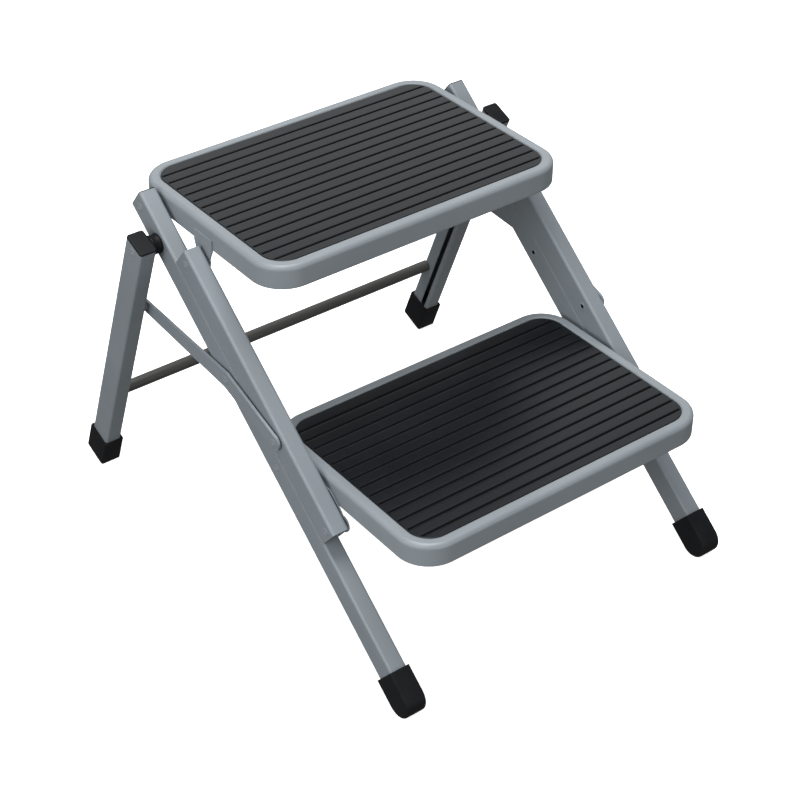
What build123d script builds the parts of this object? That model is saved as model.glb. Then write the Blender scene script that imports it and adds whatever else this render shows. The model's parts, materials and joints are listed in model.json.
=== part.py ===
from build123d import *
import math
import os

# Folding two-step stool. Millimetres, +Z up, front is -Y, X across the width, floor at Z = 0.

# --- overall layout ---
STEP_RISE = 195.0          # between the two mat surfaces, upwards
STEP_RUN = 240.0           # and forwards
TOP_HEIGHT = 394.4         # top mat surface above the floor
TOP_TREAD_Y = 90.0         # centre of the top tread behind the middle of the footprint

# --- treads ---
TREAD_W = 382.0
TREAD_D = 262.0
TREAD_CORNER = 38.5
RIM_RISE = 0.6             # rim crest above the mat
RIM_RADIUS = 8.5
SKIRT_DROP = 26.0          # lower edge of the skirt below the mat surface
LIP = 7.0                  # flange turned in at the bottom of the skirt
SHEET = 1.2
MAT_W = 356.0
MAT_D = 236.5
MAT_CORNER = 25.5
MAT_T = 3.0
MAT_GAP = 0.6
GROOVE_PITCH = 16.0
GROOVE_COUNT = 14
GROOVE_FIRST = -106.3      # first groove from the tread centre
GROOVE_W = 2.8
GROOVE_DEEP = 1.4
PIVOT_BACK = 81.5          # leg pivot behind the tread centre
PIVOT_DROP = 13.1          # and below the mat surface

# --- rectangular tube of both leg pairs ---
TUBE_W = 20.0
TUBE_D = 30.0
TUBE_WALL = 1.2
TUBE_CORNER = 3.0
LEG_X = 205.0              # front leg centre
REAR_X = 236.6             # rear leg centre

# --- stations along the front leg, measured down from the top pivot ---
LEG_TOP = -10.0
LEG_END = 566.0
CAP_TOP = 548.3
REAR_PIVOT = 43.0
LEVER_PIVOT = 205.0
LINK_ALONG = 84.5          # link pivot beyond the leg pivot, along the leg
LINK_FORWARD = 32.0        # and in front of the leg's centreline

# --- link channels ---
LINK_DEPTH = 29.2
LINK_WEB = 12.5            # web face in front of the link pivots
LINK_CORNER = 3.5
LINK_ABOVE = 11.0          # channel beyond its top pivot
LINK_BELOW = 8.4           # and beyond its bottom pivot

# --- levers ---
LEVER_ARM = 157.67         # pivot to slot pin
LEVER_ANGLE = 144.0        # rear arm from the leg direction
LEVER_T = 3.0
LEVER_X = 218.5
LEVER_R_PIN = 8.0
LEVER_R_PIVOT = 10.0
LEVER_R_LINK = 9.0

# --- rear frame ---
REAR_TILT = 21.89          # rear leg from the vertical
REAR_TOP = -10.6           # top of the cap above the pivot
REAR_END = 358.0
REAR_CAP_TOP = 335.4
SLOT_W = 7.4
SLOT_OFFSET = -6.0         # slot in front of the rear leg's centreline
SLOT_START = 98.7
SLOT_END = 337.0           # lower end of the slot, inside the foot
CROSSBAR_R = 7.0
CROSSBAR_BACK = 10.5
CROSSBAR_DOWN = 274.0

# --- plastic feet and caps ---
FOOT_WALL = 2.5
FOOT_ROUND = 2.0
FRONT_FLAT = 0.5           # depth of the worn flat under a front foot
REAR_FLAT = 2.2            # depth of the flat under a rear foot
PLUG_HEAD = 2.2
BUSH_R = 11.0

# --- rivets ---
RIVET_R = 4.0
HOLE_R = 4.05
HEAD_R = 6.5
HEAD_T = 1.2
WASHER_R = 7.5
PIN_R = 3.0
TAB_T = 1.8
TAB_TOP = 13.0             # top edge of a tab below the mat surface
# per step: front and rear edge from the tread centre, lean of the front edge, tangent angle, end radius
TAB_SHAPES = {
    "top": (-21.5, 12.0, 0.0, 15.0, 12.0),
    "bottom": (18.2, 40.0, 16.0, 99.0, 9.5),
}
TAB_REAR_TANGENT = 220.0

SIDES = {"left": -1, "right": 1}
LEG_ANGLE = math.atan2(STEP_RISE, STEP_RUN)
STEP = math.hypot(STEP_RISE, STEP_RUN)
TOP_PIVOT = (TOP_TREAD_Y + PIVOT_BACK, TOP_HEIGHT - PIVOT_DROP)
LEG_IN = LEG_X - TUBE_W / 2
LEG_OUT = LEG_X + TUBE_W / 2
REAR_IN = REAR_X - TUBE_W / 2
REAR_OUT = REAR_X + TUBE_W / 2
SKIRT_OUT = TREAD_W / 2
SKIRT_IN = SKIRT_OUT - SHEET
TAB_IN = SKIRT_OUT + 0.1
TAB_OUT = TAB_IN + TAB_T
LEVER_IN = LEVER_X - LEVER_T / 2
LEVER_OUT = LEVER_X + LEVER_T / 2


def leg_point(along, forward=0.0):
    """(y, z) of a point given down the front leg and in front of its centreline."""
    c = math.cos(LEG_ANGLE)
    s = math.sin(LEG_ANGLE)
    return (TOP_PIVOT[0] - along * c - forward * s, TOP_PIVOT[1] - along * s + forward * c)


TREAD_PIVOTS = {"top": leg_point(0), "bottom": leg_point(STEP)}
LINK_PIVOTS = {
    "top": leg_point(LINK_ALONG, LINK_FORWARD),
    "bottom": leg_point(STEP + LINK_ALONG, LINK_FORWARD),
}
REAR_PIVOT_YZ = leg_point(REAR_PIVOT)
LEVER_PIVOT_YZ = leg_point(LEVER_PIVOT)
LEVER_LINK_YZ = leg_point(LEVER_PIVOT + LINK_ALONG, LINK_FORWARD)
SLOT_PIN_YZ = leg_point(
    LEVER_PIVOT + LEVER_ARM * math.cos(math.radians(LEVER_ANGLE)),
    -LEVER_ARM * math.sin(math.radians(LEVER_ANGLE)),
)


def leg_frame(forward=0.0):
    """Frame at the top pivot with +Z up the front leg and +Y to its rear side."""
    y, z = leg_point(0, forward)
    return Plane(origin=(0, y, z), x_dir=(1, 0, 0), z_dir=(0, math.cos(LEG_ANGLE), math.sin(LEG_ANGLE)))


def rear_frame():
    """Frame at the rear leg pivot with +Z up the rear leg and +Y to its rear side."""
    y, z = REAR_PIVOT_YZ
    t = math.radians(REAR_TILT)
    return Plane(origin=(0, y, z), x_dir=(1, 0, 0), z_dir=(0, -math.sin(t), math.cos(t)))


def prism(width, depth, corner, bottom, top):
    """Upright rounded rectangle between two heights."""
    return extrude(Pos(0, 0, bottom) * RectangleRounded(width, depth, corner), amount=top - bottom)


def tube(bottom, top):
    """Rectangular leg tube between two heights."""
    w = TUBE_W - 2 * TUBE_WALL
    d = TUBE_D - 2 * TUBE_WALL
    outer = prism(TUBE_W, TUBE_D, TUBE_CORNER, bottom, top)
    return outer - prism(w, d, TUBE_CORNER - TUBE_WALL, bottom, top)


def rod(radius, x_a, x_b, at):
    """Cylinder along X between two stations, centred on a (y, z) point."""
    return Pos((x_a + x_b) / 2, at[0], at[1]) * Rot(0, 90, 0) * Cylinder(radius, abs(x_b - x_a))


def rivet(side, at, inner, outer):
    """Rivet along X with a low domed head outside and a flat one inside."""
    shank = rod(RIVET_R, side * inner, side * outer, at)
    button = rod(HEAD_R, side * outer, side * (outer + HEAD_T), at)
    rim = button.edges().filter_by(GeomType.CIRCLE).sort_by(Axis.X)[-1 if side > 0 else 0]
    button = fillet(rim, HEAD_T * 0.7)
    return shank + button + rod(HEAD_R, side * inner, side * (inner - HEAD_T), at)


def washer(side, at, inner, outer):
    """Spacer around a rivet."""
    return rod(WASHER_R, side * inner, side * outer, at) - rod(HOLE_R, side * (inner - 1), side * (outer + 1), at)


def above_floor(part):
    """The part cut by the floor plane."""
    return part & Pos(0, 0, 500) * Box(1000, 1500, 1000)


def foot_block(width, bottom, top, end_radius):
    """Foot cap with a rounded end, open pocket for the tube still to be cut."""
    depth = TUBE_D + 2 * FOOT_WALL
    upper = Pos(0, 0, (bottom + end_radius + top) / 2) * Box(width, depth, top - bottom - end_radius)
    if end_radius * 2 >= depth:
        lower = Pos(0, 0, bottom + end_radius) * Rot(0, 90, 0) * Cylinder(depth / 2, width)
    else:
        lower = Pos(0, 0, bottom + end_radius) * Box(width, depth, 2 * end_radius)
    block = upper + lower
    soft = [e for e in block.edges() if e.center().Z < top - 0.01]
    return fillet(soft, FOOT_ROUND)


def front_leg(side):
    """Front leg tube with its four rivet holes."""
    leg = leg_frame() * Pos(side * LEG_X, 0, 0) * tube(-LEG_END, -LEG_TOP)
    for at in (TREAD_PIVOTS["top"], TREAD_PIVOTS["bottom"], REAR_PIVOT_YZ, LEVER_PIVOT_YZ):
        leg -= rod(HOLE_R, side * (LEG_IN - 1), side * (LEG_OUT + 1), at)
    return leg


def front_leg_plug(side):
    """Black end plug in the top of a front leg."""
    inner_w = TUBE_W - 2 * TUBE_WALL - 0.1
    inner_d = TUBE_D - 2 * TUBE_WALL - 0.1
    head = prism(TUBE_W, TUBE_D, TUBE_CORNER, -LEG_TOP + 0.02, -LEG_TOP + 1.2)
    spigot = prism(inner_w, inner_d, TUBE_CORNER - TUBE_WALL, -LEG_TOP - 5, -LEG_TOP + 0.02)
    return leg_frame() * Pos(side * LEG_X, 0, 0) * (head + spigot)


def front_foot(side):
    """Rubber foot with a half-round end for a leg that stands at a slant."""
    radius = TUBE_D / 2 + FOOT_WALL
    centre = (TOP_PIVOT[1] - radius + FRONT_FLAT) / math.sin(LEG_ANGLE)
    block = foot_block(TUBE_W + 2 * FOOT_WALL, -centre - radius, -CAP_TOP, radius)
    block -= prism(TUBE_W + 0.1, TUBE_D + 0.1, TUBE_CORNER, -LEG_END - 0.3, -CAP_TOP)
    return above_floor(leg_frame() * Pos(side * LEG_X, 0, 0) * block)


def rear_leg(side):
    """Rear leg tube with the lever slot in its inner wall."""
    leg = tube(-REAR_END, -REAR_TOP - PLUG_HEAD)
    slot_top = SLOT_START - SLOT_W / 2 - 1
    slot = Rot(0, 90, 0) * extrude(SlotOverall(SLOT_END - slot_top, SLOT_W), amount=4, both=True)
    leg -= Pos(-side * TUBE_W / 2, SLOT_OFFSET, -(slot_top + SLOT_END) / 2) * slot
    leg = rear_frame() * Pos(side * REAR_X, 0, 0) * leg
    return leg - rod(HOLE_R, side * (REAR_IN - 1), side * (REAR_OUT + 1), REAR_PIVOT_YZ)


def rear_leg_cap(side):
    """Black cap closing the top of a rear leg, bored for the pivot rivet."""
    inner_w = TUBE_W - 2 * TUBE_WALL - 0.1
    inner_d = TUBE_D - 2 * TUBE_WALL - 0.1
    seat = -REAR_TOP - PLUG_HEAD + 0.02
    head = prism(TUBE_W, TUBE_D + 0.6, TUBE_CORNER, seat, -REAR_TOP)
    spigot = prism(inner_w, inner_d, TUBE_CORNER - TUBE_WALL, -9, seat)
    cap = rear_frame() * Pos(side * REAR_X, 0, 0) * (head + spigot)
    return cap - rod(HOLE_R, side * (REAR_IN - 1), side * (REAR_OUT + 1), REAR_PIVOT_YZ)


def rear_foot(side):
    """Rubber foot of a rear leg, flattened where it meets the floor."""
    t = math.radians(REAR_TILT)
    half = TUBE_D / 2 + FOOT_WALL
    end = (REAR_PIVOT_YZ[1] - half * math.sin(t) + REAR_FLAT) / math.cos(t)
    block = foot_block(TUBE_W + 2 * FOOT_WALL, -end, -REAR_CAP_TOP, 4.0)
    block -= prism(TUBE_W + 0.1, TUBE_D + 0.1, TUBE_CORNER, -REAR_END - 0.3, -REAR_CAP_TOP)
    return above_floor(rear_frame() * Pos(side * REAR_X, 0, 0) * block)


def pivot_bush(side):
    """Round black spacer between a front leg and its rear leg."""
    bush = rod(BUSH_R, side * (LEG_OUT + 0.3), side * (REAR_IN - 0.05), REAR_PIVOT_YZ)
    return bush - rod(HOLE_R, side * LEG_OUT, side * REAR_IN, REAR_PIVOT_YZ)


def crossbar():
    """Round tube that ties the rear legs together."""
    frame = rear_frame() * Pos(0, CROSSBAR_BACK, -CROSSBAR_DOWN)
    length = 2 * REAR_IN - 0.04
    bar = Cylinder(CROSSBAR_R, length) - Cylinder(CROSSBAR_R - 1.2, length)
    return frame * Rot(0, 90, 0) * bar


def tread_centre(step):
    """Centre of a tread's mat surface."""
    y, z = TREAD_PIVOTS[step]
    return Pos(0, y - PIVOT_BACK, z + PIVOT_DROP)


def tread_pan():
    """Pressed tread with a rolled rim, a recess for the mat and a turned-in lower lip."""
    pan = prism(TREAD_W, TREAD_D, TREAD_CORNER, -SKIRT_DROP, RIM_RISE)
    pan = fillet(pan.faces().sort_by(Axis.Z)[-1].edges(), RIM_RADIUS)
    hollow_w = TREAD_W - 2 * SHEET
    hollow_d = TREAD_D - 2 * SHEET
    shoulder = RIM_RISE - RIM_RADIUS - 1
    pan -= prism(hollow_w, hollow_d, TREAD_CORNER - SHEET, -SKIRT_DROP + SHEET, shoulder)
    pan -= prism(hollow_w - 2 * LIP, hollow_d - 2 * LIP, TREAD_CORNER - LIP, -SKIRT_DROP, -SKIRT_DROP + SHEET)
    pan -= rim_hollow(hollow_w, hollow_d, shoulder)
    recess_w = MAT_W + 2 * MAT_GAP
    recess_d = MAT_D + 2 * MAT_GAP
    pan -= prism(recess_w, recess_d, MAT_CORNER + MAT_GAP, -MAT_T, RIM_RISE)
    return pan


def tread_nodes(step):
    """The pressed tread as two nodes that meet at the edge of the mat recess."""
    deck_w = MAT_W + 2 * MAT_GAP
    deck_d = MAT_D + 2 * MAT_GAP
    plate = prism(deck_w, deck_d, MAT_CORNER + MAT_GAP, -MAT_T - SHEET, -MAT_T)
    pan = tread_pan()
    holes = rod(HOLE_R, -TREAD_W / 2 - 5, TREAD_W / 2 + 5, TREAD_PIVOTS[step])
    return {
        step + "_tread_deck": tread_centre(step) * (pan & plate),
        step + "_tread_rim": tread_centre(step) * (pan - plate) - holes,
    }


def rim_hollow(width, depth, base):
    """Space inside the rolled rim and under the mat plate."""
    ring = prism(width, depth, TREAD_CORNER - SHEET, base, RIM_RISE - SHEET)
    ring = fillet(ring.faces().sort_by(Axis.Z)[-1].edges(), RIM_RADIUS - SHEET)
    core_w = MAT_W + 2 * (MAT_GAP + SHEET)
    core_d = MAT_D + 2 * (MAT_GAP + SHEET)
    return ring - prism(core_w, core_d, MAT_CORNER + MAT_GAP + SHEET, -MAT_T - SHEET, RIM_RISE)


def tread_mat(step):
    """Ribbed rubber mat: grooves across the full width."""
    mat = prism(MAT_W, MAT_D, MAT_CORNER, -MAT_T + 0.02, 0)
    for i in range(GROOVE_COUNT):
        y = GROOVE_FIRST + i * GROOVE_PITCH
        mat -= Pos(0, y, -GROOVE_DEEP / 2) * Box(MAT_W + 2, GROOVE_W, GROOVE_DEEP)
    return tread_centre(step) * mat


def on_circle(centre, radius, degrees):
    """Point of a circle in the YZ plane, its angle turned up from the front."""
    turn = math.radians(degrees)
    return (centre[0] - radius * math.cos(turn), centre[1] + radius * math.sin(turn))


def tread_tab(side, step):
    """Bracket welded to the tread's skirt that carries the link pivot."""
    pivot = LINK_PIVOTS[step]
    centre = TREAD_PIVOTS[step][0] - PIVOT_BACK
    surface = TREAD_PIVOTS[step][1] + PIVOT_DROP
    front, rear, lean, tangent, radius = TAB_SHAPES[step]
    outline = [
        (centre + front, surface - TAB_TOP),
        (centre + rear, surface - TAB_TOP),
        (centre + rear, surface - SKIRT_DROP),
        on_circle(pivot, radius, TAB_REAR_TANGENT),
        on_circle(pivot, radius, tangent),
        (centre + front - lean, surface - SKIRT_DROP),
    ]
    plate = Plane.YZ * (make_face(Polyline(outline, close=True)) + Pos(*pivot) * Circle(radius))
    plate = Pos(side * (TAB_IN + TAB_OUT) / 2, 0, 0) * extrude(plate, amount=TAB_T / 2, both=True)
    return plate - rod(HOLE_R, side * (TAB_IN - 1), side * (TAB_OUT + 1), pivot)


def link_channel(side):
    """U-channel that ties the two treads together, open towards the leg."""
    top = -LINK_ALONG + LINK_ABOVE
    bottom = -STEP - LINK_ALONG - LINK_BELOW
    shape = prism(TUBE_W, 2 * LINK_DEPTH, LINK_CORNER, bottom, top)
    shape -= prism(TUBE_W - 2 * SHEET, 2 * (LINK_DEPTH - SHEET), LINK_CORNER - SHEET, bottom, top)
    keep = Pos(0, -LINK_DEPTH / 2, (top + bottom) / 2) * Box(TUBE_W, LINK_DEPTH, top - bottom)
    channel = Pos(side * LEG_X, LINK_DEPTH - LINK_WEB, 0) * (shape & keep)
    channel = leg_frame(LINK_FORWARD) * channel
    for at in (LINK_PIVOTS["top"], LINK_PIVOTS["bottom"], LEVER_LINK_YZ):
        channel -= rod(HOLE_R, side * (LEG_IN - 1), side * (LEG_OUT + 1), at)
    return channel


def lever(side):
    """Bent plate that swings the rear frame when the treads fold."""
    ends = [(SLOT_PIN_YZ, LEVER_R_PIN), (LEVER_PIVOT_YZ, LEVER_R_PIVOT), (LEVER_LINK_YZ, LEVER_R_LINK)]
    shape = arm(*ends[0], *ends[1]) + arm(*ends[1], *ends[2])
    plate = extrude(Plane.YZ * shape, amount=LEVER_T / 2, both=True)
    plate = Pos(side * LEVER_X, 0, 0) * plate
    for (at, _), hole in zip(ends, (PIN_R, HOLE_R, HOLE_R)):
        plate -= rod(hole, side * (LEVER_IN - 1), side * (LEVER_OUT + 1), at)
    return plate


def arm(a, r_a, b, r_b):
    """Flat bar with rounded ends of two radii."""
    length = math.hypot(b[0] - a[0], b[1] - a[1])
    turn = math.degrees(math.atan2(b[1] - a[1], b[0] - a[0]))
    lean = math.asin((r_a - r_b) / length)
    s = math.sin(lean)
    c = math.cos(lean)
    outline = [
        (r_a * s, r_a * c),
        (length + r_b * s, r_b * c),
        (length + r_b * s, -r_b * c),
        (r_a * s, -r_a * c),
    ]
    bar = make_face(Polyline(outline, close=True)) + Circle(r_a) + Pos(length, 0) * Circle(r_b)
    return Pos(a[0], a[1]) * Rot(0, 0, turn) * bar


def slot_pin(side):
    """Shouldered pin from the lever into the rear leg's slot, with its head inside the tube."""
    inside = REAR_IN + TUBE_WALL
    pin = rod(PIN_R, side * (LEVER_IN - 0.9), side * (inside + 1.6), SLOT_PIN_YZ)
    pin += rod(4.5, side * (LEVER_IN - 0.9), side * LEVER_IN, SLOT_PIN_YZ)
    pin += rod(4.5, side * LEVER_OUT, side * (REAR_IN - 0.3), SLOT_PIN_YZ)
    return pin + rod(5.5, side * (inside + 0.3), side * (inside + 1.6), SLOT_PIN_YZ)


def side_parts(name, side):
    """Every node of one side, by name."""
    parts = {
        "front_leg": front_leg(side),
        "front_leg_plug": front_leg_plug(side),
        "front_foot": front_foot(side),
        "rear_leg": rear_leg(side),
        "rear_leg_cap": rear_leg_cap(side),
        "rear_foot": rear_foot(side),
        "pivot_bush": pivot_bush(side),
        "rear_pivot_rivet": rivet(side, REAR_PIVOT_YZ, LEG_IN - 0.1, REAR_OUT),
        "link_channel": link_channel(side),
        "lever": lever(side),
        "slot_pin": slot_pin(side),
        "lever_pivot_rivet": rivet(side, LEVER_PIVOT_YZ, LEG_IN, LEVER_OUT + 0.1),
        "lever_pivot_washer": washer(side, LEVER_PIVOT_YZ, LEG_OUT + 0.05, LEVER_IN - 0.1),
        "lever_link_rivet": rivet(side, LEVER_LINK_YZ, LEG_IN, LEVER_OUT + 0.1),
        "lever_link_washer": washer(side, LEVER_LINK_YZ, LEG_OUT + 0.05, LEVER_IN - 0.1),
    }
    for step in ("top", "bottom"):
        leg_at = TREAD_PIVOTS[step]
        link_at = LINK_PIVOTS[step]
        parts[step + "_tread_rivet"] = rivet(side, leg_at, SKIRT_IN - 0.1, LEG_OUT)
        parts[step + "_tread_washer"] = washer(side, leg_at, SKIRT_OUT + 0.15, LEG_IN - 0.05)
        parts[step + "_link_rivet"] = rivet(side, link_at, TAB_IN - 0.1, LEG_OUT)
        parts[step + "_link_washer"] = washer(side, link_at, TAB_OUT + 0.15, LEG_IN - 0.05)
        parts[step + "_tread_tab"] = tread_tab(side, step)
    return {f"{key}_{name}": part for key, part in parts.items()}


def main():
    """Write one STEP file per node."""
    os.makedirs("parts", exist_ok=True)
    nodes = {"crossbar": crossbar()}
    for step in ("top", "bottom"):
        nodes.update(tread_nodes(step))
        nodes[step + "_mat"] = tread_mat(step)
    for name, side in SIDES.items():
        nodes.update(side_parts(name, side))
    for name, part in nodes.items():
        export_step(part, f"parts/{name}.step")


main()
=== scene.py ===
"""Looks of the folding two-step stool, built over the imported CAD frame. Metres, +Z up, front is -Y."""
import json
import math

import bmesh
import bpy
from mathutils import Matrix, Vector


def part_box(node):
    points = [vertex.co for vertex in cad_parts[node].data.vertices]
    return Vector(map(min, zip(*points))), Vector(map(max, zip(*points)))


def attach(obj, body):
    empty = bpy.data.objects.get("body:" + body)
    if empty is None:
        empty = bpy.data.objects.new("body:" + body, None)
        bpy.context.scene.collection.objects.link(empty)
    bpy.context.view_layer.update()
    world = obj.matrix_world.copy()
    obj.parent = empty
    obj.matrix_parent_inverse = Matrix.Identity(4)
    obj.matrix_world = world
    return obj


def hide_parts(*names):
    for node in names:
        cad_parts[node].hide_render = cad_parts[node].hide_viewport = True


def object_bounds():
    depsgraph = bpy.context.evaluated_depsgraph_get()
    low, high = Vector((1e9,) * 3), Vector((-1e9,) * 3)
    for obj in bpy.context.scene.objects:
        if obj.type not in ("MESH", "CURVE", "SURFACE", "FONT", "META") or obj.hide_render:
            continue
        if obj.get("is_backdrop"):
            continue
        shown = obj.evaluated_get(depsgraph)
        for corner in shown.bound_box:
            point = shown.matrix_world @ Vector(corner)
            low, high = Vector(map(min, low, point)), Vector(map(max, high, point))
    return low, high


MM = 0.001
SIDES = ("left", "right")
STEPS = ("top", "bottom")

# sizes repeated from part.py, in millimetres
RIM_RISE = 0.6             # rim crest above the mat
RIM_RADIUS = 8.5
SKIRT_DROP = 26.0          # lower edge of the skirt below the mat
SHEET = 1.2
LIP = 7.0                  # flange turned in under the skirt
TREAD_HALF = (191.0, 131.0)
TREAD_CORNER = 38.5
RECESS_INSET = (12.4, 12.15)
MAT_HALF = (178.0, 118.25)
MAT_CORNER = 25.5
MAT_T = 3.0
GROOVE_PITCH = 16.0
GROOVE_COUNT = 14
GROOVE_FIRST = -106.3      # first groove from the mat's centre
TUBE_HALF = (10.0, 15.0)
FOOT_HALF = (12.5, 17.5)
FRONT_CAP_TOP = 548.3      # tops of the feet, down the leg from its pivot
REAR_CAP_TOP = 335.4
FRONT_FOOT_FLAT = 0.5      # depth cut off each foot by the floor
REAR_FOOT_FLAT = 2.2
LEG_TOP = 10.0             # leg ends above their pivots
REAR_TOP = 10.6
PLUG_T = 1.2
REAR_CAP_T = 2.2
REAR_CAP_HALF = (TUBE_HALF[0], TUBE_HALF[1] + 0.3)
REAR_TILT = math.radians(21.89)

# sizes of the visible shapes alone, in millimetres
CREST_RADIUS = 5.6         # outer rounding as it looks; the CAD solid has RIM_RADIUS
RECESS_CREST = 1.5         # rounding from the crest into the recess
HEM_RADIUS = 1.6           # rounding at the bottom of the skirt
SKIRT_RINGS = (-6.4, -9.0, -12.0, -18.0, -23.0, -24.2)
UNDERSIDE_RINGS = (0.9, 2.0, 5.0)
GROOVE_PROFILE = ((2.0, 0.0), (1.7, -0.06), (1.45, -0.3), (1.2, -0.8), (0.9, -1.25), (0.45, -1.4))
RIB_ROWS = (4.0, 8.0, 12.0)        # rows on the flat rib after each groove
MAT_END_ROWS = (0.0, 0.12, 0.35, 0.7, 1.1, 1.8, 2.8, 4.2, 6.0, 8.2)
MAT_SIDE_COLUMNS = (0.0, 0.12, 0.35, 0.8, 1.2, 1.8, 2.6, 3.6)
MAT_INNER_COLUMNS = 24
MAT_EDGE_RADIUS = 0.9
GROOVE_MARGIN = 1.2        # rim of the mat that a groove leaves uncut
GROOVE_RUNOUT = 2.4        # length over which it comes to full depth
GROOVE_SHADE = (0.45, 1.6)         # depths that get the darker groove material, painted shade in the grooves
FOOT_ROUNDING = 2.4
FOOT_TOP_SHARE = 0.3       # of that rounding along a foot's top edge
SHARP_EDGE = math.radians(28)
FLOOR_CLEARANCE = 0.02
CAP_CORNER = 3.0
# (inset, height from the top) over a cap, and (distance in, radius lost) at each end of a bush
CAP_CROWN = ((0, -0.75), (0.12, -0.4), (0.4, -0.12), (0.9, 0), (2.0, 0.02))
BUSH_EDGE = ((0.0, 0.9), (0.3, 0.35), (0.9, 0.0), (2.6, 0.0), (3.2, 0.45))

# rivet sections: depth in millimetres, share of the head radius
RIVET_INNER_END = (
    (4.2, 0.05), (4.0, 0.33), (0.95, 0.36), (0.7, 0.42), (0.62, 0.52), (0.7, 0.62), (0.95, 0.72), (1.2, 0.75),
)
RIVET_OUTER_HEAD = (
    (1.2, 0.76), (1.0, 0.74), (0.8, 0.66), (0.68, 0.5), (0.66, 0.34), (0.74, 0.25), (1.9, 0.2), (2.0, 0.05),
)
RIVET_SHANK = 0.62
RIVET_SHANK_DEPTH = 1.3
RIVET_HOLE = 0.37          # bore of the inner end, painted dark with the groove material as shade

# studio, in metres and watts
FLOOR_HALF = 30
WORLD_STRENGTH = 0.18
EYE_FROM_TOP_MAT = Vector((-1.0294, -1.4473, 0.9878))
LOOK = (math.radians(90 - 36.159), 0.0, math.radians(-37.063))
LENS = 85.02
SENSOR = 36.0

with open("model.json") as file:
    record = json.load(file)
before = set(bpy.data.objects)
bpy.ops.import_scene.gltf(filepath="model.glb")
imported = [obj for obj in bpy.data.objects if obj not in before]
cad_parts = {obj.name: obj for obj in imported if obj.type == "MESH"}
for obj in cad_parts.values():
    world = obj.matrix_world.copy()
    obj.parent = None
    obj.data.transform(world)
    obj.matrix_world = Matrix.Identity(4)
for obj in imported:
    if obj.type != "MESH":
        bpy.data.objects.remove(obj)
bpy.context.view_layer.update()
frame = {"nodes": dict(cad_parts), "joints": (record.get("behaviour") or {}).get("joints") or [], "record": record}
joint_at = {j["name"]: Vector(j["pos_m"]) for j in frame["joints"]}
body_of = {n: b for b, ns in frame["record"]["behaviour"]["bodies"].items() for n in ns}
slot_of = {s["node"]: s["material_slot"] for s in frame["record"]["subparts"]}


# ---------------------------------------------------------------- materials

class Nodes:
    """A material's node tree with short calls for the nodes used here."""

    def __init__(self, name):
        self.material = bpy.data.materials.new(name)
        self.material.use_nodes = True
        self.tree = self.material.node_tree
        self.tree.nodes.clear()
        self.output = self.add("ShaderNodeOutputMaterial")
        self.shader = self.add("ShaderNodeBsdfPrincipled")
        self.link(self.shader.outputs["BSDF"], self.output.inputs["Surface"])
        self.place = self.add("ShaderNodeTexCoord").outputs["Object"]

    def add(self, kind, **settings):
        node = self.tree.nodes.new(kind)
        for key, value in settings.items():
            setattr(node, key, value)
        return node

    def link(self, source, target):
        self.tree.links.new(source, target)

    def stretched(self, scale, turn=(0, 0, 0)):
        mapping = self.add("ShaderNodeMapping")
        mapping.inputs["Scale"].default_value = scale
        mapping.inputs["Rotation"].default_value = turn
        self.link(self.place, mapping.inputs["Vector"])
        return mapping.outputs["Vector"]

    def noise(self, scale, detail=3.0, roughness=0.55, vector=None):
        node = self.add("ShaderNodeTexNoise")
        node.inputs["Scale"].default_value = scale
        node.inputs["Detail"].default_value = detail
        node.inputs["Roughness"].default_value = roughness
        self.link(vector or self.place, node.inputs["Vector"])
        return node.outputs["Fac"]

    def span(self, value, low, high, from_low=0.3, from_high=0.7):
        node = self.add("ShaderNodeMapRange")
        node.inputs["From Min"].default_value = from_low
        node.inputs["From Max"].default_value = from_high
        node.inputs["To Min"].default_value = low
        node.inputs["To Max"].default_value = high
        self.link(value, node.inputs["Value"])
        return node.outputs["Result"]

    def math(self, operation, a, b):
        node = self.add("ShaderNodeMath", operation=operation)
        for socket, value in zip(node.inputs, (a, b)):
            if isinstance(value, (int, float)):
                socket.default_value = value
            else:
                self.link(value, socket)
        return node.outputs["Value"]

    def mix(self, factor, a, b):
        node = self.add("ShaderNodeMix", data_type="RGBA")
        for name, value in (("Factor", factor), ("A", a), ("B", b)):
            socket = [s for s in node.inputs if s.name == name and s.enabled][0]
            if isinstance(value, (tuple, float, int)):
                socket.default_value = value
            else:
                self.link(value, socket)
        return [s for s in node.outputs if s.enabled][0]

    def bump(self, height, strength, distance, normal=None):
        node = self.add("ShaderNodeBump")
        node.inputs["Strength"].default_value = strength
        node.inputs["Distance"].default_value = distance
        self.link(height, node.inputs["Height"])
        if normal is not None:
            self.link(normal, node.inputs["Normal"])
        return node.outputs["Normal"]

    def edges(self, radius):
        """0 on flats, rising on outer and inner edges sharper than the radius."""
        bevel = self.add("ShaderNodeBevel", samples=6)
        bevel.inputs["Radius"].default_value = radius
        plain = self.add("ShaderNodeNewGeometry").outputs["Normal"]
        dot = self.add("ShaderNodeVectorMath", operation="DOT_PRODUCT")
        self.link(bevel.outputs["Normal"], dot.inputs[0])
        self.link(plain, dot.inputs[1])
        return self.span(dot.outputs["Value"], 1.0, 0.0, 0.86, 0.995)


def rgb(r, g, b):
    return (r, g, b, 1.0)


def shade(colour, factor):
    """The colour made darker or lighter, with no channel above 1."""
    return tuple(min(1, c * factor) for c in colour[:3]) + (1,)


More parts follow.
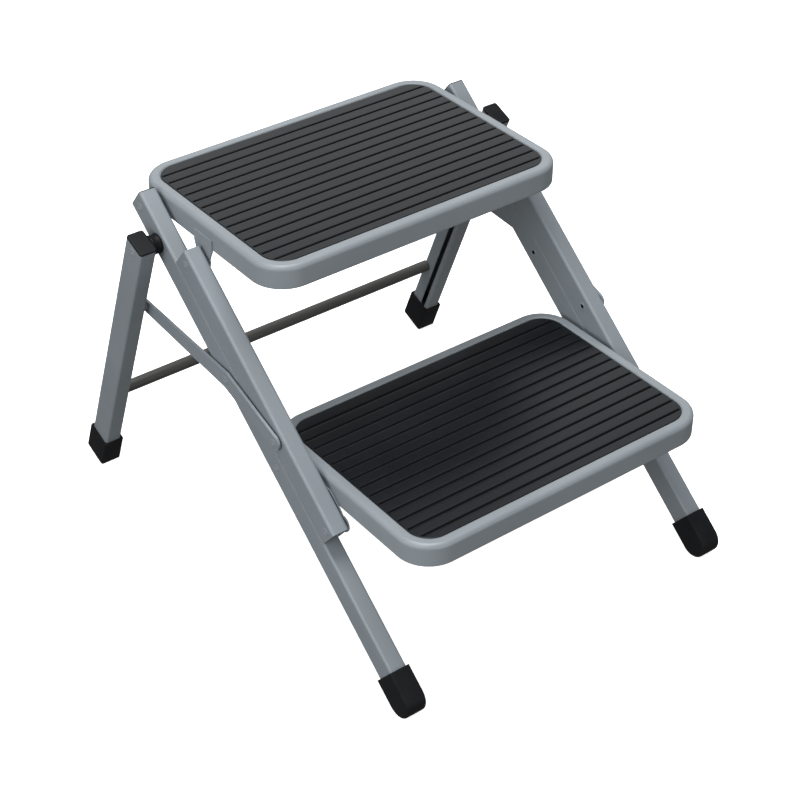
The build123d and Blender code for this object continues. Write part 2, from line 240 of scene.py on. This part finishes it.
def painted_steel(name, base, worn, wear, rough=0.43):
    """Satin powder coat: orange peel, soft mottling, thin paint on the edges."""
    m = Nodes(name)
    broad = m.noise(7.0, 3.0)
    fine = m.noise(55.0, 4.0)
    tone = m.mix(m.span(broad, 0.0, 1.0), shade(base, 0.93), shade(base, 1.06))
    tone = m.mix(m.span(fine, 0.0, 0.16), tone, rgb(base[0] * 0.8, base[1] * 0.81, base[2] * 0.83))
    chips = m.math("MULTIPLY", m.edges(0.0009), m.span(m.noise(260.0, 5.0), 0.0, 1.0, 0.48, 0.62))
    chips = m.math("MULTIPLY", chips, wear)
    tone = m.mix(chips, tone, worn)
    m.link(tone, m.shader.inputs["Base Color"])
    streaks = m.noise(1.0, 4.0, 0.6, m.stretched((180.0, 26.0, 26.0)))
    roughness = m.math("ADD", m.span(fine, rough - 0.05, rough + 0.06), m.span(streaks, -0.02, 0.03))
    m.link(roughness, m.shader.inputs["Roughness"])
    peel = m.bump(m.noise(900.0, 2.0), 0.10, 0.0003)
    dents = m.bump(m.noise(28.0, 2.0), 0.06, 0.0015, peel)
    m.link(dents, m.shader.inputs["Normal"])
    m.shader.inputs["Metallic"].default_value = 0.0
    m.shader.inputs["Specular IOR Level"].default_value = 0.5
    m.shader.inputs["Coat Weight"].default_value = 0.08
    m.shader.inputs["Coat Roughness"].default_value = 0.3
    return m.material


def ribbed_rubber(name, base, worn):
    """Moulded rubber with a fine grain, faint scuffs and a dull bloom."""
    m = Nodes(name)
    bloom = m.noise(9.0, 4.0, 0.6)
    speck = m.noise(420.0, 3.0, 0.6)
    tone = m.mix(m.span(bloom, 0.0, 1.0), shade(base, 0.86), shade(base, 1.16))
    tone = m.mix(m.span(speck, 0.0, 0.22), tone, worn)
    scuffs = m.noise(1.0, 5.0, 0.7, m.stretched((14.0, 150.0, 60.0), (0, 0, 0.35)))
    tone = m.mix(m.span(scuffs, 0.0, 0.3, 0.60, 0.78), tone, worn)
    crest = m.math("MULTIPLY", m.edges(0.0008), 0.25)
    tone = m.mix(crest, tone, worn)
    m.link(tone, m.shader.inputs["Base Color"])
    roughness = m.math("ADD", m.span(bloom, 0.31, 0.37), m.span(speck, -0.03, 0.04))
    m.link(roughness, m.shader.inputs["Roughness"])
    grain = m.bump(m.noise(1500.0, 2.0, 0.6), 0.11, 0.00025)
    grain = m.bump(m.noise(240.0, 3.0), 0.10, 0.0004, grain)
    m.link(grain, m.shader.inputs["Normal"])
    m.shader.inputs["Specular IOR Level"].default_value = 0.36
    m.shader.inputs["Specular Tint"].default_value = rgb(0.84, 0.93, 1.0)
    return m.material


def moulded_black(name, base, worn, rough, grain=0.14):
    """Black moulded rubber or plastic with a spark-eroded grain."""
    m = Nodes(name)
    patch = m.noise(60.0, 4.0, 0.6)
    tone = m.mix(m.span(patch, 0.0, 1.0), base, shade(base, 1.35))
    rub = m.math("MULTIPLY", m.edges(0.0012), m.span(m.noise(190.0, 4.0), 0.1, 0.8))
    tone = m.mix(m.math("MULTIPLY", rub, 0.35), tone, worn)
    m.link(tone, m.shader.inputs["Base Color"])
    m.link(m.span(patch, rough - 0.05, rough + 0.08), m.shader.inputs["Roughness"])
    m.link(m.bump(m.noise(1100.0, 3.0), grain, 0.0003), m.shader.inputs["Normal"])
    m.shader.inputs["Specular IOR Level"].default_value = 0.12
    return m.material


GREY = rgb(0.203, 0.230, 0.252)
BARE = rgb(0.46, 0.47, 0.48)
MATERIALS = {
    "frame_paint": painted_steel("frame_paint", GREY, BARE, wear=0.1),
    "tread_paint": painted_steel("tread_paint", rgb(0.218, 0.244, 0.264), BARE, wear=0.07, rough=0.4),
    "mat_rubber": ribbed_rubber("mat_rubber", rgb(0.0026, 0.0032, 0.0042), rgb(0.0080, 0.0092, 0.0112)),
    "foot_rubber": moulded_black(
        "foot_rubber", rgb(0.0075, 0.0080, 0.0090), rgb(0.034, 0.034, 0.036), 0.55, grain=0.2
    ),
    "black_plastic": moulded_black(
        "black_plastic", rgb(0.0065, 0.0070, 0.0078), rgb(0.030, 0.031, 0.033), 0.46
    ),
    "rivet_metal": painted_steel("rivet_metal", rgb(0.215, 0.235, 0.262), BARE, wear=0.05, rough=0.42),
    "washer_plastic": moulded_black("washer_plastic", rgb(0.05, 0.052, 0.055), rgb(0.09, 0.09, 0.095), 0.5),
}

# a darker copy of the frame paint for the crossbar: painted shade, standing in for the shadow the top tread casts
# on it
SHADED_BAR_PAINT = painted_steel("crossbar_paint", rgb(0.060, 0.059, 0.056), BARE, wear=0.08, rough=0.5)
# darker, rougher rubber for faces deep in the mat's grooves and in the rivets' hollow ends: painted shade in these
# recesses
PAINTED_RECESS_SHADE = moulded_black("mat_groove", rgb(0.0022, 0.0023, 0.0026), rgb(0.006, 0.006, 0.0065), 0.8)


# ---------------------------------------------------------------- mesh helpers

def piece(name, mesh, node, *others):
    """Object for a new mesh that replaces CAD nodes of one body and rides on it."""
    obj = bpy.data.objects.new(name, mesh)
    bpy.context.scene.collection.objects.link(obj)
    for face in mesh.polygons:
        face.use_smooth = True
    mesh.materials.append(MATERIALS[slot_of[node]])
    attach(obj, body_of[node])
    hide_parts(node, *others)
    return obj


def mesh_from(name, verts, faces):
    mesh = bpy.data.meshes.new(name)
    mesh.from_pydata([tuple(v) for v in verts], [], faces)
    bm = bmesh.new()
    bm.from_mesh(mesh)
    bmesh.ops.recalc_face_normals(bm, faces=bm.faces)
    bm.to_mesh(mesh)
    bm.free()
    mesh.update()
    return mesh


def outline(half_x, half_y, radius, arc, run):
    """Rounded rectangle as points, anticlockwise, with evenly split straight runs."""
    points = []
    corners = [(1, 1, 0), (-1, 1, 90), (-1, -1, 180), (1, -1, 270)]
    for i, (sx, sy, start) in enumerate(corners):
        cx = sx * (half_x - radius)
        cy = sy * (half_y - radius)
        for k in range(arc + 1):
            a = math.radians(start + 90 * k / arc)
            points.append((cx + radius * math.cos(a), cy + radius * math.sin(a)))
        nsx, nsy, nstart = corners[(i + 1) % 4]
        a = math.radians(nstart)
        nx = nsx * (half_x - radius) + radius * math.cos(a)
        ny = nsy * (half_y - radius) + radius * math.sin(a)
        px, py = points[-1]
        for k in range(1, run):
            points.append((px + (nx - px) * k / run, py + (ny - py) * k / run))
    return points


def loft(rings):
    """Vertices and faces of a closed skin over rings of equal count."""
    count = len(rings[0])
    verts = [p for ring in rings for p in ring]
    faces = []
    for r in range(len(rings) - 1):
        for k in range(count):
            a = r * count + k
            b = r * count + (k + 1) % count
            faces.append((a, b, b + count, a + count))
    faces.append(tuple(range(count)))
    faces.append(tuple((len(rings) - 1) * count + k for k in range(count)))
    return verts, faces


def lathe_x(at, profile, segments=40):
    """Skin of a profile of (x, radius) turned about the X line through at."""
    rings = []
    for x, r in profile:
        ring = []
        for k in range(segments):
            a = 2 * math.pi * k / segments
            ring.append((x, at[1] + r * math.cos(a), at[2] + r * math.sin(a)))
        rings.append(ring)
    return loft(rings)


def arc_points(cx, cz, radius, start, stop, steps):
    """Points along an arc, both ends included, angles in degrees."""
    return [
        (cx + radius * math.cos(math.radians(start + (stop - start) * k / steps)),
         cz + radius * math.sin(math.radians(start + (stop - start) * k / steps)))
        for k in range(steps + 1)
    ]


# ---------------------------------------------------------------- treads

def tread_section():
    """(inset, height) pairs in mm, from the recess floor over the crest and round to the underside."""
    inset = RECESS_INSET[0]
    inside = inset + SHEET
    path = [(inset + 2.6, -MAT_T), (inset + 0.5, -MAT_T), (inset + 0.1, -2.7), (inset, -2.2), (inset, -1.1)]
    path += arc_points(inset - RECESS_CREST, RIM_RISE - RECESS_CREST, RECESS_CREST, 0, 90, 5)[1:]
    path += [(inset - 2.4, RIM_RISE + 0.02)]
    path += arc_points(CREST_RADIUS, RIM_RISE - CREST_RADIUS, CREST_RADIUS, 90, 180, 12)
    path += [(0, height) for height in SKIRT_RINGS]
    path += arc_points(HEM_RADIUS, -SKIRT_DROP + HEM_RADIUS, HEM_RADIUS, 180, 270, 4)[1:]
    path += [(3.0, -SKIRT_DROP), (LIP + 0.6, -SKIRT_DROP)]
    path += arc_points(LIP + 0.6, -SKIRT_DROP + SHEET / 2, SHEET / 2, -90, 90, 4)[1:]
    lip_top = -SKIRT_DROP + SHEET
    path += [(3.0, lip_top), (1.6, lip_top + 0.1), (SHEET, lip_top + 0.6)]
    path += [(SHEET, -20.0), (SHEET, -12.0), (SHEET, -9.0)]
    path += arc_points(RIM_RADIUS, RIM_RISE - RIM_RADIUS, RIM_RADIUS - SHEET, 180, 90, 8)
    path += [(inset + 0.6, RIM_RISE - SHEET), (inside, -1.2), (inside, -3.6), (inside + 0.3, -4.0)]
    path += [(inside + support, -MAT_T - SHEET) for support in UNDERSIDE_RINGS]
    return path


def tread_shell(step):
    """Pressed tread: rolled rim, recess for the mat, skirt and turned-in lip."""
    node = step + "_tread_rim"
    low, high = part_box(node)
    centre_y = (low.y + high.y) / 2
    surface = high.z - RIM_RISE * MM
    rings = []
    for inset, height in tread_section():
        inset_y = inset * RECESS_INSET[1] / RECESS_INSET[0]
        ring = outline(TREAD_HALF[0] - inset, TREAD_HALF[1] - inset_y, TREAD_CORNER - inset, 12, 10)
        rings.append([(x * MM, centre_y + y * MM, surface + height * MM) for x, y in ring])
    verts, faces = loft(rings)
    return piece(step + "_tread_shell", mesh_from(node, verts, faces), node, step + "_tread_deck")


def mat_rows():
    """Heights of the ribbed surface: (y, z) stations across the grooves, in mm."""
    half = MAT_HALF[1]
    rows = {}
    for i in range(GROOVE_COUNT):
        g = GROOVE_FIRST + i * GROOVE_PITCH
        for dy, z in GROOVE_PROFILE:
            rows[round(g - dy, 3)] = z
            rows[round(g + dy, 3)] = z
        for dy in RIB_ROWS:
            rows[round(g + dy, 3)] = 0.0
    for dy in MAT_END_ROWS:
        rows.setdefault(round(half - dy, 3), 0.0)
        rows.setdefault(round(-half + dy, 3), 0.0)
    return [(y, rows[y]) for y in sorted(rows) if abs(y) <= half + 1e-6]


def mat_half_width(y):
    """Half width of the mat's rounded outline at y, in mm."""
    straight = MAT_HALF[1] - MAT_CORNER
    over = max(0.0, abs(y) - straight)
    return MAT_HALF[0] - MAT_CORNER + math.sqrt(max(0.0, MAT_CORNER ** 2 - over ** 2))


def edge_drop(depth):
    """How far the rolled edge lies below the mat's surface, at a depth in from its outline."""
    if depth >= MAT_EDGE_RADIUS:
        return 0.0
    return MAT_EDGE_RADIUS - math.sqrt(max(0.0, MAT_EDGE_RADIUS ** 2 - (MAT_EDGE_RADIUS - depth) ** 2))


def mat_skin(step):
    """Ribbed mat: rounded grooves across the tread, rolled outer edge."""
    node = step + "_mat"
    low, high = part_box(node)
    centre_y = (low.y + high.y) / 2
    columns = MAT_INNER_COLUMNS
    corner_x = MAT_HALF[0] - MAT_CORNER
    corner_y = MAT_HALF[1] - MAT_CORNER
    verts = []
    for y, z in mat_rows():
        half = mat_half_width(y)
        offsets = [half - d for d in MAT_SIDE_COLUMNS]
        inner = [offsets[-1] * (2 * k / columns - 1) for k in range(1, columns)]
        for x in [-o for o in offsets] + inner + offsets[::-1]:
            depth = min(MAT_HALF[0] - abs(x), MAT_HALF[1] - abs(y))
            if abs(x) > corner_x and abs(y) > corner_y:
                depth = MAT_CORNER - math.hypot(abs(x) - corner_x, abs(y) - corner_y)
            closed = min(1.0, max(0.0, (depth - GROOVE_MARGIN) / GROOVE_RUNOUT))
            height = min(z, 0.0) * closed - edge_drop(max(0.0, depth))
            verts.append((x * MM, centre_y + y * MM, high.z + height * MM))
    width = 2 * len(MAT_SIDE_COLUMNS) + columns - 1
    count = len(verts) // width
    faces = []
    for r in range(count - 1):
        for k in range(width - 1):
            a = r * width + k
            faces.append((a, a + 1, a + 1 + width, a + width))
    rim = list(range(width))
    rim += [r * width + width - 1 for r in range(1, count)]
    rim += [(count - 1) * width + k for k in range(width - 2, -1, -1)]
    rim += [r * width for r in range(count - 2, 0, -1)]
    base = len(verts)
    for index in rim:
        x, y, _ = verts[index]
        verts.append((x, y, low.z))
    for k in range(len(rim)):
        n = (k + 1) % len(rim)
        faces.append((rim[k], rim[n], base + n, base + k))
    faces.append(tuple(range(base, base + len(rim))))
    obj = piece(step + "_mat_skin", mesh_from(node, verts, faces), node)
    # faces deep in a groove get the darker material, painted shade
    obj.data.materials.append(PAINTED_RECESS_SHADE)
    for face in obj.data.polygons:
        deep = high.z - face.center.z
        if GROOVE_SHADE[0] * MM < deep < GROOVE_SHADE[1] * MM and abs(face.normal.z) > 0.2:
            face.material_index = 1
    return obj


for step in STEPS:
    tread_shell(step)
    mat_skin(step)


# ---------------------------------------------------------------- feet, caps and bushes

down_leg = (joint_at["bottom_step_fold"] - joint_at["top_step_fold"]).normalized()
LEG_ORIGIN = joint_at["top_step_fold"]
REAR_ORIGIN = joint_at["rear_frame_fold"]


def slanted(origin, up, x):
    """Matrix of a local frame: +Z along up, +Y to the rear side, placed at x."""
    up = up.normalized()
    rear = Vector((0, up.z, -up.y))
    matrix = Matrix(((1, 0, 0), (0, rear.y, up.y), (0, rear.z, up.z))).to_4x4()
    return Matrix.Translation((x, origin.y, origin.z)) @ matrix


def leg_matrix(x):
    """Frame at the top of a front leg, +Z up the leg."""
    return slanted(LEG_ORIGIN, -down_leg, x)


def rear_matrix(x):
    """Frame at a rear leg's pivot, +Z up the leg."""
    return slanted(REAR_ORIGIN, Vector((0, -math.sin(REAR_TILT), math.cos(REAR_TILT))), x)


def bevelled(mesh, weights, width, segments):
    """Mesh with its sharp edges rounded by weight and returned as plain geometry."""
    attribute = mesh.attributes.new("bevel_weight_edge", "FLOAT", "EDGE")
    for index, weight in weights.items():
        attribute.data[index].value = weight
    obj = bpy.data.objects.new("bevel_work", mesh)
    bpy.context.scene.collection.objects.link(obj)
    modifier = obj.modifiers.new("round", "BEVEL")
    modifier.width = width
    modifier.segments = segments
    modifier.limit_method = "WEIGHT"
    modifier.use_clamp_overlap = True
    graph = bpy.context.evaluated_depsgraph_get()
    result = bpy.data.meshes.new_from_object(obj.evaluated_get(graph))
    bpy.data.objects.remove(obj)
    return result


def foot_mesh(name, side_view, matrix, top):
    """Foot block from its side outline in mm, rounded, then cut by the floor."""
    half = FOOT_HALF[0]
    count = len(side_view)
    verts = [(-half * MM, y * MM, z * MM) for y, z in side_view]
    verts += [(half * MM, y * MM, z * MM) for y, z in side_view]
    faces = [tuple(range(count)), tuple(range(count, 2 * count))]
    faces += [(k, (k + 1) % count, count + (k + 1) % count, count + k) for k in range(count)]
    mesh = mesh_from(name, verts, faces)
    weights = {}
    bm = bmesh.new()
    bm.from_mesh(mesh)
    for edge in bm.edges:
        if len(edge.link_faces) == 2 and edge.calc_face_angle(0) > SHARP_EDGE:
            at_top = all(v.co.z > (top - 0.01) * MM for v in edge.verts)
            weights[edge.index] = FOOT_TOP_SHARE if at_top else 1.0
    bm.free()
    mesh = bevelled(mesh, weights, FOOT_ROUNDING * MM, 5)
    mesh.transform(matrix)
    bm = bmesh.new()
    bm.from_mesh(mesh)
    cut = bmesh.ops.bisect_plane(
        bm,
        geom=bm.verts[:] + bm.edges[:] + bm.faces[:],
        plane_co=(0, 0, FLOOR_CLEARANCE * MM),
        plane_no=(0, 0, -1),
        clear_outer=True,
    )
    ring = [e for e in cut["geom_cut"] if isinstance(e, bmesh.types.BMEdge)]
    bmesh.ops.contextual_create(bm, geom=ring)
    bmesh.ops.recalc_face_normals(bm, faces=bm.faces)
    bm.to_mesh(mesh)
    bm.free()
    return mesh


def front_foot(side):
    """Foot with a round end, flattened a little where it stands."""
    node = "front_foot_" + side
    low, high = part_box(node)
    matrix = leg_matrix((low.x + high.x) / 2)
    radius = FOOT_HALF[1]
    centre = -(LEG_ORIGIN.z / MM - radius + FRONT_FOOT_FLAT) / -down_leg.z
    top = -FRONT_CAP_TOP
    side_view = [(-radius, top)]
    side_view += arc_points(0, centre, radius, 180, 360, 30)
    side_view += [(radius, top)]
    return piece("front_foot_skin_" + side, foot_mesh(node, side_view, matrix, top), node)


def rear_foot(side):
    """Foot with a square end, cut flat by the floor."""
    node = "rear_foot_" + side
    low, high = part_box(node)
    matrix = rear_matrix((low.x + high.x) / 2)
    half = FOOT_HALF[1]
    end = -(REAR_ORIGIN.z / MM - half * math.sin(REAR_TILT) + REAR_FOOT_FLAT) / math.cos(REAR_TILT)
    top = -REAR_CAP_TOP
    side_view = [(-half, top), (-half, end), (half, end), (half, top)]
    return piece("rear_foot_skin_" + side, foot_mesh(node, side_view, matrix, top), node)


def end_cap(node, matrix, half, bottom, top, name):
    """Low plastic cap with a softly rounded crown."""
    rings = []
    for inset, z in [(0, bottom)] + [(inset, top + rise) for inset, rise in CAP_CROWN]:
        ring = outline(half[0] - inset, half[1] - inset, CAP_CORNER - inset, 6, 3)
        rings.append([matrix @ Vector((x * MM, y * MM, z * MM)) for x, y in ring])
    verts, faces = loft(rings)
    return piece(name, mesh_from(node, verts, faces), node)


def bush(side):
    """Round spacer with broken edges and a shallow waist."""
    node = "pivot_bush_" + side
    low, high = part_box(node)
    at = (low + high) / 2
    r = (high.y - low.y) / 2
    profile = [(low.x + d * MM, r - lost * MM) for d, lost in BUSH_EDGE]
    profile += [(high.x - d * MM, r - lost * MM) for d, lost in reversed(BUSH_EDGE)]
    verts, faces = lathe_x(at, profile, 48)
    return piece("bush_turned_" + side, mesh_from(node, verts, faces), node)


for side in SIDES:
    front_foot(side)
    rear_foot(side)
    bush(side)
    for node, matrix_of, half, bottom, top in (
        ("front_leg_plug_", leg_matrix, TUBE_HALF, LEG_TOP, LEG_TOP + PLUG_T),
        ("rear_leg_cap_", rear_matrix, REAR_CAP_HALF, REAR_TOP - REAR_CAP_T, REAR_TOP),
    ):
        low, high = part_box(node + side)
        end_cap(node + side, matrix_of((low.x + high.x) / 2), half, bottom, top, node + "crown_" + side)


# ---------------------------------------------------------------- rivets

def rivet(node):
    """Nearly flush rivet: low outer head with a small blind hole, hollow clenched inner end."""
    low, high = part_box(node)
    at = (low + high) / 2
    out = 1 if at.x > 0 else -1
    outer = high.x if out > 0 else low.x
    inner = low.x if out > 0 else high.x
    r = (high.y - low.y) / 2
    inward = out * MM
    profile = [(inner + d * inward, r * share) for d, share in RIVET_INNER_END]
    profile += [(inner + RIVET_SHANK_DEPTH * inward, r * RIVET_SHANK)]
    profile += [(outer - RIVET_SHANK_DEPTH * inward, r * RIVET_SHANK)]
    profile += [(outer - d * inward, r * share) for d, share in RIVET_OUTER_HEAD]
    verts, faces = lathe_x(at, profile)
    obj = piece(node + "_turned", mesh_from(node, verts, faces), node)
    # faces in the hollow inner end get the darker material, painted shade in the hole
    obj.data.materials.append(PAINTED_RECESS_SHADE)
    for face in obj.data.polygons:
        points = [obj.data.vertices[k].co for k in face.vertices]
        reach = max(math.hypot(p.y - at.y, p.z - at.z) for p in points)
        if reach < RIVET_HOLE * r and out * (face.center.x - at.x) < 0:
            face.material_index = 1
    return obj


for node in sorted(body_of):
    if "_rivet_" in node:
        rivet(node)


# ---------------------------------------------------------------- CAD nodes that stay

def finish_node(node):
    """Material of a CAD node that is kept as it is; replaced nodes are left alone."""
    obj = frame["nodes"][node]
    if obj.hide_render:
        return
    obj.data.materials.clear()
    # the crossbar gets the darker copy of the frame paint, painted shade
    obj.data.materials.append(SHADED_BAR_PAINT if node == "crossbar" else MATERIALS[slot_of[node]])


for node in sorted(body_of):
    finish_node(node)


# ---------------------------------------------------------------- floor, light and camera

def floor():
    """Pale floor that glows a little; it isn't seen in reflections or by bounced light."""
    corners = [(x * FLOOR_HALF, y * FLOOR_HALF, 0) for x, y in ((-1, -1), (1, -1), (1, 1), (-1, 1))]
    mesh = mesh_from("floor", corners, [(0, 1, 2, 3)])
    obj = bpy.data.objects.new("floor", mesh)
    bpy.context.scene.collection.objects.link(obj)
    m = Nodes("pale_floor")
    tone = m.mix(m.span(m.noise(3.0), 0.0, 1.0), rgb(0.86, 0.86, 0.86), rgb(0.88, 0.88, 0.88))
    m.link(tone, m.shader.inputs["Base Color"])
    m.shader.inputs["Roughness"].default_value = 0.9
    m.shader.inputs["Specular IOR Level"].default_value = 0.1
    m.shader.inputs["Emission Color"].default_value = rgb(1, 1, 1)
    m.shader.inputs["Emission Strength"].default_value = 0.8
    mesh.materials.append(m.material)
    obj.visible_diffuse = False
    obj.visible_glossy = False
    obj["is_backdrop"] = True


def softbox(name, at, target, size, power, reflected=True):
    """Rectangular light turned to its target. Reflected side lights whiten the mats in a low side view."""
    light = bpy.data.lights.new(name, "AREA")
    light.shape = "RECTANGLE"
    light.size, light.size_y = size
    light.energy = power
    obj = bpy.data.objects.new(name, light)
    obj.location = at
    obj.rotation_euler = (Vector(target) - Vector(at)).to_track_quat("-Z", "Y").to_euler()
    obj.visible_glossy = reflected
    bpy.context.scene.collection.objects.link(obj)


floor()
world = bpy.data.worlds.new("studio")
world.use_nodes = True
sky = world.node_tree.nodes["Background"]
sky.inputs["Color"].default_value = rgb(1, 1, 1)
sky.inputs["Strength"].default_value = WORLD_STRENGTH
bpy.context.scene.world = world
softbox("key", (-1.6, -1.0, 2.2), (0, 0, 0.2), (1.5, 1.5), 19)
softbox("overhead", (-0.1, 0.0, 2.6), (0, 0, 0.2), (1.2, 1.2), 54)
softbox("side_fill", (-2.4, -0.5, 0.9), (0, 0, 0.25), (1.8, 1.3), 35, reflected=False)
softbox("front_fill", (0.0, -2.0, 0.3), (0, 0, 0.2), (1.6, 0.5), 9)
softbox("right_fill", (2.3, 0.5, 0.9), (0, 0, 0.25), (1.6, 1.2), 18, reflected=False)
softbox("backdrop", (1.55, 2.05, 1.85), (0, 0, 0.3), (3.2, 2.2), 18)
bpy.context.scene.view_settings.view_transform = "Standard"

mat_low, mat_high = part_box("top_mat")
camera = bpy.data.cameras.new("camera")
camera.lens = LENS
camera.sensor_width = SENSOR
eye = bpy.data.objects.new("camera", camera)
eye.location = Vector((0, (mat_low.y + mat_high.y) / 2, mat_high.z)) + EYE_FROM_TOP_MAT
eye.rotation_euler = LOOK
bpy.context.scene.collection.objects.link(eye)
bpy.context.scene.camera = eye

low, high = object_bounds()
